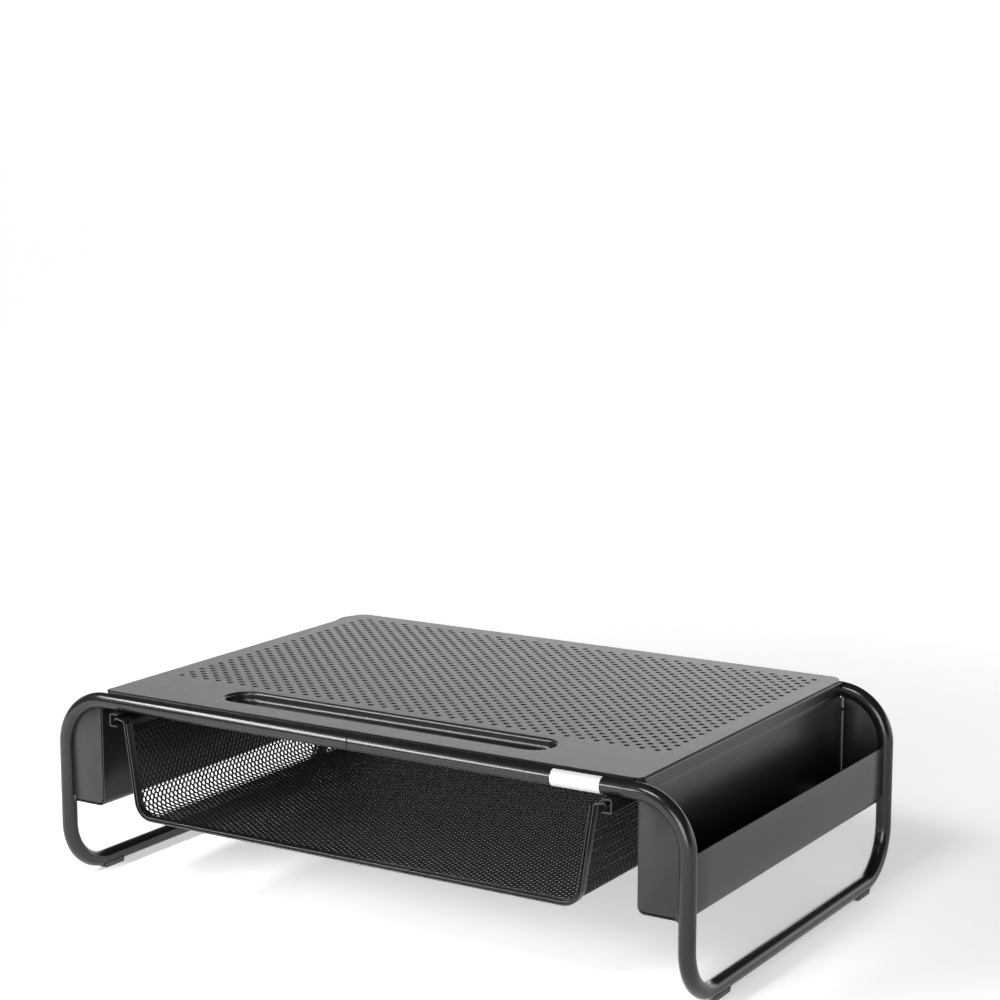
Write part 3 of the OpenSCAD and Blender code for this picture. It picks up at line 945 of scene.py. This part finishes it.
def weld(bm, centre, size, seed):
    """Small uneven bead of weld metal."""
    made = bmesh.ops.create_icosphere(bm, subdivisions=3, radius=1.0)
    for v in made["verts"]:
        wave = math.sin(3.1 * v.co.x * 2 + seed) * math.cos(2.7 * v.co.z * 2 + seed * 1.7)
        ripple = 1 + 0.12 * wave
        v.co = Vector([centre[k] + v.co[k] * size[k] * ripple for k in range(3)])


def welds():
    """Beads where the bins, end panels and rails meet the tubes."""
    bm = bmesh.new()
    seed = 0
    for side in (1, -1):
        for y, back in ((front_y, 1), (rear_y, -1)):
            # end panel's lower edge against the leg
            weld(bm, (side * (leg_x - TUBE_R - 0.4 * MM), y - back * 0.4 * MM,
                      end_low.z - 0.6 * MM), (1.5 * MM, 1.3 * MM, 2.6 * MM), seed)
            # outer wall's lower corner against the leg
            weld(bm, (side * leg_x, y + back * (TUBE_R + 0.3 * MM), bin_low.z + BIN_FOLD_R * 0.5),
                 (1.2 * MM, 1.6 * MM, 3.0 * MM), seed + 1)
            # outer wall's upper corner against the leg
            weld(bm, (side * leg_x, y + back * (TUBE_R + 0.2 * MM), BIN_TOP - 2.5 * MM),
                 (1.0 * MM, 0.9 * MM, 2.4 * MM), seed + 2)
            # rail under the tube
            weld(bm, (side * (rail_high.x - 1.5 * MM), y + back * 3.2 * MM,
                      tube_under_z + 0.6 * MM), (2.2 * MM, 1.2 * MM, 0.8 * MM), seed + 3)
            # folded side of the panel at its relief
            weld(bm, (side * (panel_high.x - 1.5 * MM), y + back * 9.4 * MM,
                      panel_high.z - 2.2 * MM), (0.9 * MM, 0.9 * MM, 0.8 * MM), seed + 4)
            # spot weld at the end panel's lower inner corner
            weld(bm, (side * (bin_low.x + 2.3 * MM), y - back * 1.0 * MM, end_low.z + 0.9 * MM),
                 (0.8 * MM, 0.4 * MM, 0.8 * MM), seed + 5)
            # bead from the wall to the end panel, under the relief
            weld(bm, (side * (bin_low.x + 1.2 * MM), y - back * 0.9 * MM, panel_high.z - 19.6 * MM),
                 (0.9 * MM, 0.5 * MM, 1.0 * MM), seed + 6)
            seed += 7
    bmesh.ops.recalc_face_normals(bm, faces=bm.faces)
    return add_piece("weld_beads", bm, STAND, sheet_paint, sharp=180)


# ---------------------------------------------------------------- stage
def ramp(nodes, links, value, start, end, low, high):
    node = nodes.new("ShaderNodeMapRange")
    node.interpolation_type = "SMOOTHSTEP"
    node.inputs["From Min"].default_value = start
    node.inputs["From Max"].default_value = end
    node.inputs["To Min"].default_value = low
    node.inputs["To Max"].default_value = high
    links.new(value, node.inputs["Value"])
    return node.outputs["Result"]


def stage():
    """Wide white table that glows, less near the stand where the lamps reach it."""
    material, nodes, links, bsdf = node_tree("floor_white")
    bsdf.inputs["Base Color"].default_value = (0.88, 0.88, 0.88, 1)
    bsdf.inputs["Roughness"].default_value = 0.7
    bsdf.inputs["Specular IOR Level"].default_value = 0.1
    bsdf.inputs["Emission Color"].default_value = (1, 1, 1, 1)
    coords = nodes.new("ShaderNodeTexCoord")
    reach = nodes.new("ShaderNodeVectorMath")
    reach.operation = "LENGTH"
    links.new(coords.outputs["Object"], reach.inputs[0])
    links.new(ramp(nodes, links, reach.outputs["Value"], GLOW_START, GLOW_END, GLOW_NEAR, GLOW_FAR),
              bsdf.inputs["Emission Strength"])
    bpy.ops.mesh.primitive_plane_add(size=60, location=(0, 0, 0))
    floor = bpy.context.object
    floor.name = "floor"
    floor.data.materials.append(material)


def area_light(name, location, target, along, size, power):
    """Soft box aimed at the target, with its long side running along the given direction."""
    light = bpy.data.lights.new(name, "AREA")
    light.shape = "RECTANGLE"
    light.size, light.size_y = size
    light.energy = power
    lamp = bpy.data.objects.new(name, light)
    lamp.location = location
    back = (Vector(location) - Vector(target)).normalized()
    across = Vector(along)
    across = (across - back * across.dot(back)).normalized()
    lamp.rotation_euler = Matrix((across, back.cross(across), back)).transposed().to_euler()
    bpy.context.collection.objects.link(lamp)


def studio_world():
    """Studio walls: a bright low band behind the stand, dim everywhere else."""
    world = bpy.data.worlds.new("studio")
    world.use_nodes = True
    nodes, links = world.node_tree.nodes, world.node_tree.links
    coords = nodes.new("ShaderNodeTexCoord")
    split = nodes.new("ShaderNodeSeparateXYZ")
    links.new(coords.outputs["Generated"], split.inputs["Vector"])

    def combine(operation, first, second):
        node = nodes.new("ShaderNodeMath")
        node.operation = operation
        links.new(first, node.inputs[0])
        links.new(second, node.inputs[1])
        return node.outputs["Value"]

    behind = ramp(nodes, links, split.outputs["Y"], -0.1, 0.4, 0.0, 1.0)
    to_right = ramp(nodes, links, split.outputs["X"], -0.8, -0.35, 0.6, 1.2)
    low_band = ramp(nodes, links, split.outputs["Z"], BAND_TOP - BAND_FADE, BAND_TOP + BAND_FADE,
                    BAND_LIGHT, 0.0)
    room = ramp(nodes, links, split.outputs["Z"], 0.1, 0.9, ROOM_LIGHT, TOP_LIGHT)
    band = combine("MULTIPLY", combine("MULTIPLY", behind, to_right), low_band)
    total = combine("ADD", band, room)
    nodes["Background"].inputs["Color"].default_value = (1, 1, 1, 1)
    links.new(total, nodes["Background"].inputs["Strength"])
    bpy.context.scene.world = world


def lights():
    """A strip whose reflection runs along the front rail, and two soft boxes."""
    rail = (0, front_y, top_z)
    corner = (leg_x, front_y, top_z - BEND_R)
    area_light("left_strip", (-0.60, -0.80, 0.62), rail, (0.62, -0.51, -0.66), (1.1, 0.14), 15)
    area_light("overhead_box", (0.04, -0.95, 1.11), corner, (1, 0, 0), (0.45, 0.3), 8)
    area_light("front_box", (1.07, -2.1, 0.54), corner, (1, 0, 0), (1.2, 1.0), 32)


def camera():
    """Long lens, seen from the front right and a little above."""
    data = bpy.data.cameras.new("camera")
    data.sensor_width = 36
    data.lens = LENS_MM
    data.clip_end = 50
    view = bpy.data.objects.new("camera", data)
    view.location = CAMERA_PLACE
    view.rotation_euler = (math.radians(90 - CAMERA_TILT), 0, math.radians(CAMERA_TURN))
    bpy.context.collection.objects.link(view)
    bpy.context.scene.camera = view


# ---------------------------------------------------------------- build
bpy.context.scene.view_settings.view_transform = "Standard"
camera()
studio_world()
lights()
stage()
frame_tube("right_frame_tube", 1)
frame_tube("left_frame_tube", -1)
top_panel()
side_bin("right_bin", 1)
side_bin("left_bin", -1)
for place in ("left_front", "right_front", "left_rear", "right_rear"):
    end_panel(place + "_end_panel")
drawer_rail("right_drawer_rail", 1)
drawer_rail("left_drawer_rail", -1)
for place in ("front_left", "front_right", "rear_left", "rear_right"):
    foot(place + "_foot")
label()
welds()
tub_mesh("drawer_mesh_right", 1, ["drawer_mesh_tub"])
tub_mesh("drawer_mesh_left", -1, ["drawer_mesh_tub"])
back_mesh()
front_rim()
rear_binding()
rear_rim()
flange("drawer_right_flange", 1)
flange("drawer_left_flange", -1)
stop_tabs()
for node in ("front_tube_joiner", "rear_tube_joiner"):
    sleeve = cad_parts[node]
    sleeve.data.materials.clear()
    sleeve.data.materials.append(sleeve_steel)
